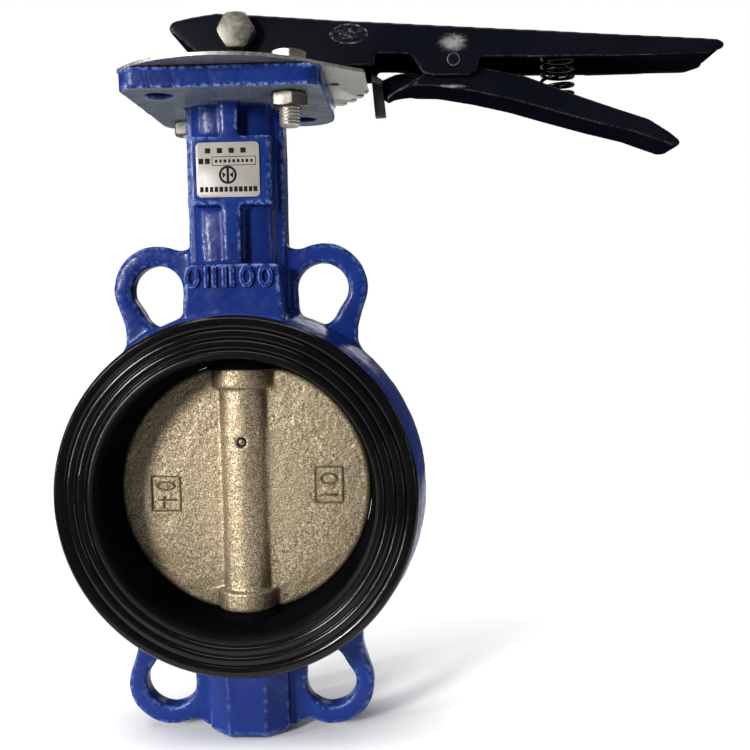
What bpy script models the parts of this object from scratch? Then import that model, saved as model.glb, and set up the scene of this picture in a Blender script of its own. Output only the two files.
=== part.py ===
"""Wafer butterfly valve, DN100, with a notched hand lever.

The origin is the centre of the pipe bore, where the stem's axis crosses the pipe's axis.
+X is the way the hand lever points when the valve is closed, +Y runs along the pipe,
+Z is up along the stem. Sizes below are in millimetres and become metres as meshes are made.
"""
import math

import bmesh
import bpy
from mathutils import Matrix, Vector

MM = 0.001
GAP = 0.3                      # clearance kept between neighbouring solids

# Pipe bore, casting ring and rubber seat
DISC_RADIUS = 52.4
SEAT_BORE = 52.7               # seat bore where the disc closes
SEAT_MOUTH = 56.0              # seat bore at the pipe faces
SEAT_FACE = 28.0               # half the seat's face-to-face length
SEAT_LIP_RADIUS = 71.7
SEAT_BACK_RADIUS = 61.0
SEAT_GROOVES = (58.6, 62.6, 66.6)
SEAT_PAD_RADIUS = 15.7         # flat rubber pad round the stem at each pole
RING_FACE = 25.3               # half the casting ring's length
RING_CROWN = ((70.2, 25.3), (72.9, 17.5), (74.5, 9.0), (75.0, 3.0))   # radius, half length

# Casting ears, one slotted loop in each corner
EAR_HALF_DEPTH = 4.4
EAR_CENTRE = (34.3, 82.5)
LOWER_EAR_DROP = 0.9           # the lower ears stand this much further out
EAR_RADIUS = 17.8
SLOT_TOP = (33.9, 81.5, 10.6)      # centre x, centre z, radius
SLOT_FOOT = (32.0, 75.0, 8.4)

# Neck and bottom boss
WEB_HALF_WIDTH = 19.5
WEB_HALF_DEPTH = 7.0
NECK_FRONT = 18.0
CORE_HALF_WIDTH = 16.8
CORE_HALF_DEPTH = 12.6
RIB_HALF_WIDTH = 3.5
PAD_HALF_WIDTH = 16.0
PAD_LOW = 114.5
PAD_HIGH = 141.0
SHOULDER_TOP = 91.5
SHOULDER_FRONT = 20.5
BOSS_BOTTOM = -103.0
BOSS_HALF_WIDTH = 16.5
BOSS_HALF_DEPTH = 15.0
BOSS_FACET = 7.7
BOSS_BEVEL = 3.0

# Top flange, notch plate and its bolts
FLANGE_HALF = 38.0
FLANGE_CORNERS = (12.5, 9.0, 7.0, 7.0)      # two at the back, two at the front
FLANGE_TOP = 162.8
FLANGE_THICKNESS = 8.0
BOLT_PITCH = 24.75             # half the side of the square of bolt holes
FLANGE_HOLE = 5.0
PLATE_THICKNESS = 1.2
PLATE_RADIUS = 48.9
PLATE_CORNER_RADIUS = 57.0
PLATE_CORNER_ANGLE = -20.7     # degrees from the closed position
PLATE_EDGE = 53.2              # straight edge at the closed position
PLATE_LEFT = -39.6             # straight edge behind the lever's nose
PLATE_HOLE = 9.2
PLATE_SIDE_HOLE = (40.0, -2.5, 2.2)   # centre x, centre y, radius
TOOTH_TIP = 54.7
TOOTH_ROOT = 51.4
TOOTH_PITCH = 8.6              # degrees
TOOTH_COUNT = 8
BOLT_RADIUS = 4.0
HEX_ACROSS_FLATS = 13.0
HEAD_HEIGHT = 5.3
NUT_HEIGHT = 5.2

# Stem and its bearings
STEM_RADIUS = 7.9
STEM_SQUARE = 11.0
STEM_TOP = 176.5
STEM_BOTTOM = -88.0
BUSH_OUTER = 10.9
SEAL_RADIUS = 1.3
PIN_RADIUS = 1.7
PIN_HEIGHT = 20.0
HUB_RADIUS = 10.5
HUB_BOSS_RADIUS = 13.0
HUB_BOSS_START = 42.0
HUB_END = 50.0                 # also the flat on the disc's edge at each pole
POLE_FLAT_RADIUS = 16.0

# Hand lever, trigger and latch
LEVER_HALF_WIDTH = 15.0
LEVER_WALL = 2.5
LEVER_FOOT = 167.0
CLAMP_BOLT = (4.2, 180.5)      # x and z of the clamp bolt
PIVOT = (87.2, 168.2)          # x and z of the trigger's pivot
PIVOT_RADIUS = 1.9
PIVOT_HEAD = 0.4
PIVOT_HEAD_RADIUS = 2.5
TRIGGER_HALF_WIDTH = 11.8
TRIGGER_WALL = 2.0
SPRING_X = 129.3
SPRING_RADIUS = 6.2
SPRING_WIRE = 0.7
SPRING_TURNS = 7
PAWL_HALF_DEPTH = 2.2
TONGUE_NEAR = PAWL_HALF_DEPTH + GAP
TONGUE_FAR = 4.6


# ---------------------------------------------------------------- tools

def clear_scene():
    for item in list(bpy.data.objects):
        bpy.data.objects.remove(item)


def make_collection(name):
    made = bpy.data.collections.new(name)
    bpy.context.scene.collection.children.link(made)
    return made


def material(name, colour, roughness, metallic):
    made = bpy.data.materials.new(name)
    made.use_nodes = True
    shader = made.node_tree.nodes["Principled BSDF"]
    shader.inputs["Base Color"].default_value = (*colour, 1.0)
    shader.inputs["Roughness"].default_value = roughness
    shader.inputs["Metallic"].default_value = metallic
    return made


def add_mesh(name, bm, where):
    """Turn a bmesh in millimetres into an object in metres."""
    bmesh.ops.scale(bm, vec=(MM, MM, MM), verts=bm.verts)
    mesh = bpy.data.meshes.new(name)
    bm.to_mesh(mesh)
    bm.free()
    made = bpy.data.objects.new(name, mesh)
    where.objects.link(made)
    if where is HELPERS:
        made.hide_render = True
        made.display_type = "WIRE"
    return made


def smooth(made):
    made.data.shade_smooth()
    made.data.set_sharp_from_angle(angle=math.radians(35))
    return made


def box(name, low, high, where):
    bm = bmesh.new()
    bmesh.ops.create_cube(bm, size=1.0)
    size = Vector(high) - Vector(low)
    bmesh.ops.scale(bm, vec=size, verts=bm.verts)
    bmesh.ops.translate(bm, vec=Vector(low) + size / 2, verts=bm.verts)
    return add_mesh(name, bm, where)


AXIS_TURN = {
    "x": Matrix.Rotation(math.radians(90), 3, "Y"),
    "y": Matrix.Rotation(math.radians(-90), 3, "X"),
    "z": Matrix.Identity(3),
}


def cylinder(name, radius, start, end, axis, at, where, sides=32, turn=0.0):
    """A cylinder or prism along an axis, from start to end, centred at the point `at`."""
    bm = bmesh.new()
    bmesh.ops.create_cone(bm, cap_ends=True, segments=sides, radius1=radius, radius2=radius,
                          depth=end - start)
    bmesh.ops.rotate(bm, matrix=Matrix.Rotation(math.radians(turn), 3, "Z"), verts=bm.verts)
    bmesh.ops.translate(bm, vec=(0, 0, (start + end) / 2), verts=bm.verts)
    bmesh.ops.rotate(bm, matrix=AXIS_TURN[axis], verts=bm.verts)
    bmesh.ops.translate(bm, vec=at, verts=bm.verts)
    return add_mesh(name, bm, where)


def turned(name, profile, axis, where, steps=48, closed=True):
    """A turned solid. The profile of (radius, height) points runs down its outer side."""
    bm = bmesh.new()
    points = [bm.verts.new((r, 0, h)) for r, h in profile]
    for first, second in zip(points, points[1:]):
        bm.edges.new((first, second))
    if closed:
        bm.edges.new((points[-1], points[0]))
    made = add_mesh(name, bm, where)
    if axis == "y":
        made.rotation_euler = (math.radians(-90), 0, 0)
    screw = made.modifiers.new("turn", "SCREW")
    screw.steps = steps
    screw.render_steps = steps
    screw.use_merge_vertices = True
    screw.merge_threshold = 0.00001
    return made


def flat_curve(name, loops, thickness, where):
    """A flat plate in the XY plane from closed loops; the inner loops are holes."""
    curve = bpy.data.curves.new(name, "CURVE")
    curve.dimensions = "2D"
    curve.fill_mode = "BOTH"
    curve.extrude = thickness / 2 * MM
    for loop in loops:
        spline = curve.splines.new("POLY")
        spline.points.add(len(loop) - 1)
        for point, (x, y) in zip(spline.points, loop):
            point.co = (x * MM, y * MM, 0, 1)
        spline.use_cyclic_u = True
    made = bpy.data.objects.new(name, curve)
    where.objects.link(made)
    return made


def curve_to_mesh(made, where):
    """Replace a curve object by the closed mesh that it draws."""
    bpy.context.view_layer.update()
    graph = bpy.context.evaluated_depsgraph_get()
    mesh = bpy.data.meshes.new_from_object(made.evaluated_get(graph))
    name = made.name
    place = made.matrix_world.copy()
    bpy.data.objects.remove(made)
    bm = bmesh.new()
    bm.from_mesh(mesh)
    bmesh.ops.remove_doubles(bm, verts=bm.verts, dist=0.000005)
    bmesh.ops.recalc_face_normals(bm, faces=bm.faces)
    bm.to_mesh(mesh)
    bm.free()
    solid = bpy.data.objects.new(name, mesh)
    solid.matrix_world = place
    where.objects.link(solid)
    if where is HELPERS:
        solid.hide_render = True
        solid.display_type = "WIRE"
    return solid


def flat_plate(name, loops, low, high, where):
    """A plate lying flat, between the heights low and high."""
    made = flat_curve(name, loops, high - low, where)
    made.location = (0, 0, (low + high) / 2 * MM)
    return curve_to_mesh(made, where)


def upright_plate(name, loops, low, high, where):
    """A plate drawn in X and Z, between the depths low and high along Y."""
    made = flat_curve(name, loops, high - low, where)
    made.rotation_euler = (math.radians(90), 0, 0)
    made.location = (0, (low + high) / 2 * MM, 0)
    return curve_to_mesh(made, where)


def arc(cx, cy, radius, start, end, count):
    """Points on an arc, from one angle to another in degrees."""
    angles = [math.radians(start + (end - start) * i / (count - 1)) for i in range(count)]
    return [(cx + radius * math.cos(a), cy + radius * math.sin(a)) for a in angles]


def circle(cx, cy, radius, count=20):
    return arc(cx, cy, radius, 0, 360 - 360 / count, count)


def flattened_oval(half_width, half_depth, count=32):
    """An oval with flattened sides and full corners."""
    points = []
    for x, y in circle(0, 0, 1.0, count):
        points.append((half_width * math.copysign(math.sqrt(abs(x)), x),
                       half_depth * math.copysign(math.sqrt(abs(y)), y)))
    return points


def mirrored(points):
    """The same outline on the other side of the vertical axis, in reverse order."""
    return [(-x, y) for x, y in reversed(points)]


def bevel_foot(made, height, width):
    """Bevel the edges of a solid's lowest face, which lies at the given height."""
    bm = bmesh.new()
    bm.from_mesh(made.data)
    bmesh.ops.dissolve_limit(bm, angle_limit=math.radians(1), verts=bm.verts, edges=bm.edges)
    low = height * MM - made.location.z
    edges = [e for e in bm.edges if all(abs(v.co.z - low) < 0.00001 for v in e.verts)]
    bmesh.ops.bevel(bm, geom=edges, offset=width * MM, segments=1, affect="EDGES")
    bm.to_mesh(made.data)
    bm.free()


def combine(made, tool, operation):
    step = made.modifiers.new(tool.name, "BOOLEAN")
    step.operation = operation
    step.object = tool
    step.solver = "EXACT"


def join(made, *tools):
    for tool in tools:
        combine(made, tool, "UNION")


def cut(made, *tools):
    for tool in tools:
        combine(made, tool, "DIFFERENCE")


def finish(made, look):
    made.data.materials.clear()
    made.data.materials.append(look)
    return made


# ---------------------------------------------------------------- casting

def ear_outer():
    """Outer edge of the right-hand ear, from the neck round the loop and into the ring."""
    cx, cz = EAR_CENTRE
    neck_fillet = [(WEB_HALF_WIDTH - 1, 100.2), (21.2, 98.5), (23.6, 97.9)]
    loop = arc(cx, cz, EAR_RADIUS, 117, -22, 18)
    ring_fillet = [(48.9, 70.6), (47.6, 65.5), (47.6, 60.0), (50.5, 54.5)]
    return neck_fillet + loop + ring_fillet


def slot_loop(side, up):
    """The slotted hole in one ear: a round top, with sides that close in towards the ring."""
    tx, tz, tr = SLOT_TOP
    fx, fz, fr = SLOT_FOOT
    half = arc(tx, tz, tr, -14, 194, 16) + arc(fx, fz, fr, 194, 346, 10)
    return [(side * x, up * z) for x, z in half]


def top_web():
    right = [(WEB_HALF_WIDTH - 1, 112)] + ear_outer() + [(40, 50)]
    outline = right + mirrored(right)
    return upright_plate("top_web", [outline, slot_loop(1, 1), slot_loop(-1, 1)],
                         -EAR_HALF_DEPTH, EAR_HALF_DEPTH, HELPERS)


def bottom_web():
    right = [(12, 99)] + ear_outer() + [(40, 50)]
    outline = [(x, -z - LOWER_EAR_DROP) for x, z in right + mirrored(right)]
    slots = [[(x, z - LOWER_EAR_DROP) for x, z in slot_loop(side, -1)] for side in (1, -1)]
    return upright_plate("bottom_web", [outline] + slots,
                         -EAR_HALF_DEPTH, EAR_HALF_DEPTH, HELPERS)


def rounded_square(half, corners, count=6):
    """A square with a radius for each corner, from the one at +X and +Y round."""
    points = []
    signs = [(1, 1), (-1, 1), (-1, -1), (1, -1)]
    for k, ((sx, sy), corner) in enumerate(zip(signs, corners)):
        inner = half - corner
        points += arc(sx * inner, sy * inner, corner, 90 * k, 90 * k + 90, count)
    return points


def neck_parts():
    flange_low = FLANGE_TOP - FLANGE_THICKNESS
    shoulder = [(-18.0, SHOULDER_TOP), (18.0, SHOULDER_TOP), (20.5, 66), (-20.5, 66)]
    boss = [(BOSS_HALF_WIDTH, -BOSS_HALF_DEPTH + 6.5), (BOSS_HALF_WIDTH, BOSS_HALF_DEPTH - 6.5),
            (BOSS_FACET, BOSS_HALF_DEPTH), (-BOSS_FACET, BOSS_HALF_DEPTH)]
    boss = boss + [(-x, -y) for x, y in boss]
    web_box = box("neck_web", (-WEB_HALF_WIDTH, -WEB_HALF_DEPTH, 68),
                  (WEB_HALF_WIDTH, WEB_HALF_DEPTH, flange_low + 1.5), HELPERS)
    core = flat_plate("neck_core", [flattened_oval(CORE_HALF_WIDTH, CORE_HALF_DEPTH)], 64,
                      flange_low + 2.0, HELPERS)
    rib = box("neck_rib", (-RIB_HALF_WIDTH, -NECK_FRONT, 80),
              (RIB_HALF_WIDTH, NECK_FRONT, flange_low + 1.0), HELPERS)
    pad = box("neck_pad", (-PAD_HALF_WIDTH, -NECK_FRONT - 0.2, PAD_LOW),
              (PAD_HALF_WIDTH, NECK_FRONT + 0.2, PAD_HIGH), HELPERS)
    block = upright_plate("neck_shoulder", [shoulder], -SHOULDER_FRONT, SHOULDER_FRONT, HELPERS)
    foot = flat_plate("bottom_boss", [boss], BOSS_BOTTOM, -64, HELPERS)
    bevel_foot(foot, BOSS_BOTTOM, BOSS_BEVEL)
    flange = flat_plate("top_flange", [rounded_square(FLANGE_HALF, FLANGE_CORNERS)],
                        flange_low, FLANGE_TOP, HELPERS)
    return [web_box, core, rib, pad, block, foot, flange]


def stem_bore():
    """The stepped hole for the stem, its bushings and its O-rings."""
    wide = BUSH_OUTER + GAP
    narrow = STEM_RADIUS + GAP
    profile = [(0, 175), (wide, 175), (wide, 145), (narrow, 144.5), (narrow, 83.0),
               (wide, 82.5), (wide, 40), (wide, -86), (narrow + 0.2, -86.5), (narrow + 0.2, -89),
               (0, -89.5)]
    return turned("stem_bore", profile, "z", HELPERS, steps=32, closed=False)


def valve_body():
    crown = list(RING_CROWN)
    profile = [(0, RING_FACE)] + crown + [(r, -h) for r, h in reversed(crown)] + [(0, -RING_FACE)]
    made = turned("valve_body", profile, "y", PARTS, steps=64, closed=False)
    join(made, top_web(), bottom_web(), *neck_parts())
    for k, (sx, sy) in enumerate([(1, -1), (-1, -1), (-1, 1), (1, 1)]):
        hole = cylinder(f"flange_hole_{k}", FLANGE_HOLE, 140, 180, "z",
                        (sx * BOLT_PITCH, sy * BOLT_PITCH, 0), HELPERS, 20)
        cut(made, hole)
    bore = cylinder("pipe_bore", SEAT_BACK_RADIUS + GAP, -40, 40, "y", (0, 0, 0), HELPERS, 64,
                    turn=2.8)
    cut(made, stem_bore(), bore)
    return finish(made, material("blue_enamel", (0.02, 0.05, 0.33), 0.3, 0.0))


def seat_liner():
    """The rubber seat: a sleeve with a grooved lip over each face of the casting ring."""
    groove = []
    for radius in SEAT_GROOVES:
        groove += [(radius - 0.7, SEAT_FACE), (radius, SEAT_FACE - 0.8), (radius + 0.7, SEAT_FACE)]
    back = RING_FACE + GAP
    half = [(SEAT_BORE, 7.0), (54.0, 18.0), (SEAT_MOUTH - 0.6, SEAT_FACE - 0.8),
            (SEAT_MOUTH + 0.2, SEAT_FACE)] + groove
    half += [(SEAT_LIP_RADIUS - 0.6, SEAT_FACE), (SEAT_LIP_RADIUS, SEAT_FACE - 0.7),
             (SEAT_LIP_RADIUS, back), (SEAT_BACK_RADIUS, back)]
    profile = half + [(r, -h) for r, h in reversed(half)]
    made = turned("seat_liner", profile, "y", PARTS, steps=56)
    start = HUB_END + GAP
    end = SEAT_BORE + 2.0
    top_pad = cylinder("liner_pad_top", SEAT_PAD_RADIUS, start, end, "z", (0, 0, 0), HELPERS)
    low_pad = cylinder("liner_pad_low", SEAT_PAD_RADIUS, -end, -start, "z", (0, 0, 0), HELPERS)
    stem_hole = cylinder("liner_stem_hole", STEM_RADIUS + GAP, -80, 80, "z", (0, 0, 0), HELPERS)
    join(made, top_pad, low_pad)
    cut(made, stem_hole)
    return finish(made, material("black_rubber", (0.012, 0.012, 0.013), 0.55, 0.0))


# ---------------------------------------------------------------- disc and stem

def disc():
    """The closing disc: a lens with a round rim, a hub for the stem and a boss at each pole."""
    half = [(0, 4.8), (24, 4.5), (42, 4.0), (51.0, 3.6), (52.0, 2.9), (DISC_RADIUS, 1.6)]
    profile = half + [(r, -h) for r, h in reversed(half)]
    made = turned("disc", profile, "y", PARTS, steps=64, closed=False)
    hub = cylinder("disc_hub", HUB_RADIUS, -HUB_BOSS_START - 2, HUB_BOSS_START + 2, "z",
                   (0, 0, 0), HELPERS)
    poles = []
    for name, low, high in [("disc_boss_top", HUB_BOSS_START, HUB_END),
                            ("disc_boss_bottom", -HUB_END, -HUB_BOSS_START)]:
        poles.append(cylinder(name, HUB_BOSS_RADIUS, low, high, "z", (0, 0, 0), HELPERS))
    flats = []
    for name, low, high in [("disc_flat_top", HUB_END, 60), ("disc_flat_bottom", -60, -HUB_END)]:
        flats.append(cylinder(name, POLE_FLAT_RADIUS, low, high, "z", (0, 0, 0), HELPERS))
    bore = cylinder("disc_bore", STEM_RADIUS + GAP, -70, 70, "z", (0, 0, 0), HELPERS)
    pin_hole = cylinder("disc_pin_hole", PIN_RADIUS + GAP, -30, 30, "y", (0, 0, PIN_HEIGHT),
                        HELPERS, 20)
    join(made, hub, *poles)
    cut(made, *flats, bore, pin_hole)
    return finish(made, material("nickel_cast", (0.42, 0.37, 0.29), 0.5, 0.8))


def stem():
    """The stem: a round shaft with a square head for the hand lever."""
    profile = [(0, 163.0), (STEM_RADIUS, 162.6), (STEM_RADIUS, STEM_BOTTOM + 1),
               (STEM_RADIUS - 1, STEM_BOTTOM), (0, STEM_BOTTOM)]
    made = turned("stem", profile, "z", PARTS, steps=32, closed=False)
    half = STEM_SQUARE / 2
    head = flat_plate("stem_square", [rounded_square(half, [0.8] * 4, 3)], 160, STEM_TOP, HELPERS)
    pin_hole = cylinder("stem_pin_hole", PIN_RADIUS + GAP, -30, 30, "y", (0, 0, PIN_HEIGHT),
                        HELPERS, 20)
    join(made, head)
    cut(made, pin_hole)
    return finish(made, material("stem_steel", (0.5, 0.5, 0.5), 0.3, 1.0))


def disc_pin():
    made = cylinder("disc_pin", PIN_RADIUS, -HUB_RADIUS + 0.6, HUB_RADIUS - 0.6, "y",
                    (0, 0, PIN_HEIGHT), PARTS, 20)
    return finish(smooth(made), material("pin_steel", (0.5, 0.48, 0.45), 0.35, 1.0))


def sleeve(name, low, high, look):
    inner = STEM_RADIUS + GAP
    profile = [(BUSH_OUTER, high), (BUSH_OUTER, low), (inner, low), (inner, high)]
    made = turned(name, profile, "z", PARTS, steps=24)
    return finish(made, look)


def o_ring(name, height, look):
    centre = STEM_RADIUS + GAP + SEAL_RADIUS
    profile = [(centre + x, height + z) for x, z in
               reversed(circle(0, 0, SEAL_RADIUS, 6))]
    made = turned(name, profile, "z", PARTS, steps=20)
    return finish(made, look)


def stem_bearings():
    bronze = material("bushing_bronze", (0.45, 0.3, 0.12), 0.4, 1.0)
    nitrile = material("seal_rubber", (0.015, 0.015, 0.015), 0.6, 0.0)
    sleeve("bushing_upper", 145.8, 157.6, bronze)
    sleeve("bushing_middle", 63.0, 77.2, bronze)
    sleeve("bushing_lower", -83.5, -63.0, bronze)
    o_ring("stem_seal_upper", 159.6, nitrile)
    o_ring("stem_seal_middle", 79.4, nitrile)


# ---------------------------------------------------------------- notch plate and fasteners

def teeth():
    """The toothed edge, from the closed side round to the open side."""
    points = []
    for k in range(TOOTH_COUNT):
        centre = 45 + (k - (TOOTH_COUNT - 1) / 2) * TOOTH_PITCH
        for offset, radius in [(-0.34, TOOTH_ROOT), (-0.30, TOOTH_TIP), (0.14, TOOTH_TIP),
                               (0.34, TOOTH_ROOT)]:
            a = math.radians(centre + offset * TOOTH_PITCH)
            points.append((radius * math.cos(a), radius * math.sin(a)))
    return points


def notch_plate():
    """Rounded plate with a sector of notches that the lever's pawl runs along."""
    reach = math.degrees(math.acos(PLATE_RADIUS / PLATE_CORNER_RADIUS))
    start = 180 + math.degrees(math.acos(-PLATE_LEFT / PLATE_RADIUS))
    end = 360 + PLATE_CORNER_ANGLE - reach
    a = math.radians(PLATE_CORNER_ANGLE)
    corner = (PLATE_CORNER_RADIUS * math.cos(a), PLATE_CORNER_RADIUS * math.sin(a))
    closed_side = [(corner[0] - 2.6, corner[1] - 0.9), (corner[0] - 0.7, corner[1] + 0.2),
                   (PLATE_EDGE, corner[1] + 2.4), (PLATE_EDGE, 9.5)]
    open_side = [(y, x) for x, y in reversed(closed_side)]
    outline = arc(0, 0, PLATE_RADIUS, start, end, 26) + closed_side + teeth() + open_side
    outline += [(PLATE_LEFT + 2.0, 40.0), (PLATE_LEFT, 37.0)]
    holes = [circle(0, 0, PLATE_HOLE, 24), circle(BOLT_PITCH, -BOLT_PITCH, BOLT_RADIUS + 0.5),
             circle(-BOLT_PITCH, BOLT_PITCH, BOLT_RADIUS + 0.5), circle(*PLATE_SIDE_HOLE, 14)]
    low = FLANGE_TOP + GAP
    made = flat_plate("notch_plate", [outline] + holes, low, low + PLATE_THICKNESS, PARTS)
    return finish(made, material("zinc_plate", (0.55, 0.56, 0.55), 0.4, 1.0))


def hex_radius():
    return HEX_ACROSS_FLATS / math.sqrt(3)


def hex_bolt(name, axis, at, head, tip, turn, look):
    """A hexagon-headed bolt; head is (under side, top) and tip is the shank's free end."""
    made = cylinder(name, hex_radius(), min(head), max(head), axis, at, PARTS, 6, turn)
    if head[1] > head[0]:
        low, high = tip, head[0] + 1
    else:
        low, high = head[0] - 1, tip
    shank = cylinder(name + "_shank", BOLT_RADIUS, low, high, axis, at, HELPERS, 20)
    join(made, shank)
    return finish(made, look)


def hex_nut(name, axis, at, low, high, turn, look):
    made = cylinder(name, hex_radius(), low, high, axis, at, PARTS, 6, turn)
    hole = cylinder(name + "_hole", BOLT_RADIUS + GAP, low - 2, high + 2, axis, at, HELPERS, 20)
    cut(made, hole)
    return finish(made, look)


def plate_fasteners(zinc):
    under_head = FLANGE_TOP + GAP + PLATE_THICKNESS + GAP
    nut_top = FLANGE_TOP - FLANGE_THICKNESS - GAP
    for name, side, tip, nut_turn in [("front", -1, 142.4, 14), ("rear", 1, 148.6, 8)]:
        at = (-side * BOLT_PITCH, side * BOLT_PITCH, 0)
        head = (under_head, under_head + HEAD_HEIGHT)
        hex_bolt("plate_bolt_" + name, "z", at, head, tip, 12, zinc)
        hex_nut("plate_nut_" + name, "z", at, nut_top - NUT_HEIGHT, nut_top, nut_turn, zinc)


# ---------------------------------------------------------------- hand lever

def lever_top():
    """Top edge of the lever from the nose to the grip's end, as (x, z)."""
    return [(-22.9, 182.2), (-22.8, 184.0), (-21.4, 185.8), (-13.0, 187.4), (-4.5, 188.5),
            (9.1, 187.6), (40.1, 184.8), (101.6, 180.1), (162.5, 175.5), (187.8, 173.6),
            (190.6, 172.0)]


def lever_outline():
    foot = [(190.3, 170.0), (183.5, 167.8), (143.0, 168.0), (97.6, 169.0), (96.0, 163.4),
            (93.0, 162.2), (79.0, 162.6), (75.3, 163.6), (70.6, 170.8), (57.6, 171.4), (57.0, 170.8),
            (57.0, LEVER_FOOT), (-9.0, LEVER_FOOT), (-14.2, 175.0)]
    return lever_top() + foot


def lever_handle():
    """Pressed steel channel, open below, that turns the stem."""
    made = upright_plate("lever_handle", [lever_outline()], -LEVER_HALF_WIDTH, LEVER_HALF_WIDTH,
                         PARTS)
    roof = [(x, z - LEVER_WALL) for x, z in lever_top() if -13.5 < x < 189]
    hollow_outline = [(-13.0, 150.0)] + roof + [(210.0, roof[-1][1] - 1.0), (210.0, 150.0)]
    inner = LEVER_HALF_WIDTH - LEVER_WALL
    hollow = upright_plate("lever_hollow", [hollow_outline], -inner, inner, HELPERS)
    bolt_hole = cylinder("lever_bolt_hole", BOLT_RADIUS + GAP, -20, 20, "y",
                         (CLAMP_BOLT[0], 0, CLAMP_BOLT[1]), HELPERS, 20)
    pin_hole = cylinder("lever_pin_hole", PIVOT_RADIUS + GAP, -20, 20, "y",
                        (PIVOT[0], 0, PIVOT[1]), HELPERS, 20)
    cut(made, hollow, bolt_hole, pin_hole)
    return finish(made, material("black_gloss", (0.012, 0.012, 0.014), 0.3, 0.0))


def lever_hub():
    """Socket block inside the lever's head, with a square hole over the stem."""
    inner = LEVER_HALF_WIDTH - LEVER_WALL - GAP
    made = box("lever_hub", (-11.5, -inner, LEVER_FOOT), (13.0, inner, 184.4), PARTS)
    half = STEM_SQUARE / 2 + GAP
    socket = box("hub_socket", (-half, -half, 160), (half, half, STEM_TOP + GAP), HELPERS)
    bolt_hole = cylinder("hub_bolt_hole", BOLT_RADIUS + GAP, -20, 20, "y",
                         (CLAMP_BOLT[0], 0, CLAMP_BOLT[1]), HELPERS, 20)
    cut(made, socket, bolt_hole)
    return finish(made, material("hub_steel", (0.1, 0.1, 0.1), 0.5, 0.8))


def lever_fasteners(zinc):
    at = (CLAMP_BOLT[0], 0, CLAMP_BOLT[1])
    face = LEVER_HALF_WIDTH + GAP
    hex_bolt("clamp_bolt", "y", at, (-face, -face - HEAD_HEIGHT), face + NUT_HEIGHT + 2, 30, zinc)
    hex_nut("clamp_nut", "y", at, face, face + NUT_HEIGHT, 30, zinc)
    pin = cylinder("pivot_pin", PIVOT_RADIUS, -face - 0.4, face + 0.4, "y",
                   (PIVOT[0], 0, PIVOT[1]), PARTS, 20)
    for name, low in [("pivot_head_front", -face - PIVOT_HEAD), ("pivot_head_rear", face)]:
        head = cylinder(name, PIVOT_HEAD_RADIUS, low, low + PIVOT_HEAD, "y",
                        (PIVOT[0], 0, PIVOT[1]), HELPERS, 20)
        join(pin, head)
    finish(pin, material("rivet_steel", (0.06, 0.06, 0.06), 0.4, 0.9))


def trigger_foot():
    """Lower edge of the trigger from the latch end to the grip's tip, as (x, z)."""
    return [(61.3, 155.9), (65.0, 158.4), (70.5, 159.6), (82.7, 159.0), (97.0, 156.3),
            (112.0, 152.7), (127.0, 148.1), (142.4, 143.6), (157.5, 139.6), (171.5, 134.4),
            (174.3, 134.2)]


def trigger_plan():
    """The trigger seen from above: a channel that narrows towards the latch."""
    side = [(61.3, 4.6), (64.0, 6.0), (73.0, TRIGGER_HALF_WIDTH), (171.0, TRIGGER_HALF_WIDTH),
            (175.6, TRIGGER_HALF_WIDTH - 2.0)]
    return [(x, -y) for x, y in side] + list(reversed(side))


def trigger_tongue():
    """The upright tongue behind the pawl, as (x, z)."""
    return [(59.7, 157.2), (58.3, 165.2), (64.9, 167.9), (72.0, 168.5), (78.0, 166.0),
            (78.0, 159.0)]


def trigger():
    """Squeeze grip: a pressed channel, open above, pivoted inside the lever."""
    px, pz = PIVOT
    ear = arc(px - 0.5, pz - 0.5, 6.2, 10, 170, 9)
    outline = trigger_foot() + [(175.6, 135.4), (174.9, 136.9), (163.0, 144.7), (148.2, 149.8),
                                (133.3, 155.3), (115.5, 162.2), (98.5, 166.0)] + ear
    outline += [(74.4, 163.0), (61.3, 158.0)]
    made = upright_plate("trigger", [outline], -TRIGGER_HALF_WIDTH - 1, TRIGGER_HALF_WIDTH + 1,
                         PARTS)
    plan = flat_plate("trigger_plan", [trigger_plan()], 100, 200, HELPERS)
    floor = [(x, z + TRIGGER_WALL) for x, z in trigger_foot() if 70 < x < 172]
    hollow_outline = floor + [(171.5, 190.0), (70.5, 190.0)]
    inner = TRIGGER_HALF_WIDTH - TRIGGER_WALL
    hollow = upright_plate("trigger_hollow", [hollow_outline], -inner, inner, HELPERS)
    pin_hole = cylinder("trigger_pin_hole", PIVOT_RADIUS + GAP, -20, 20, "y", (px, 0, pz),
                        HELPERS, 20)
    tongue = upright_plate("trigger_tongue", [trigger_tongue()], TONGUE_NEAR, TONGUE_FAR,
                           HELPERS)
    combine(made, plan, "INTERSECT")
    cut(made, hollow, pin_hole)
    join(made, tongue)
    return finish(made, material("black_gloss_trigger", (0.012, 0.012, 0.014), 0.3, 0.0))


def pawl():
    """Latch blade on the trigger's front end, beside the notch plate's edge."""
    outline = [(54.9, 167.4), (59.4, 164.6), (60.8, 150.2), (56.4, 150.0)]
    made = upright_plate("pawl", [outline], -PAWL_HALF_DEPTH, PAWL_HALF_DEPTH, PARTS)
    return finish(made, material("pawl_steel", (0.13, 0.13, 0.12), 0.5, 0.8))


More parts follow.
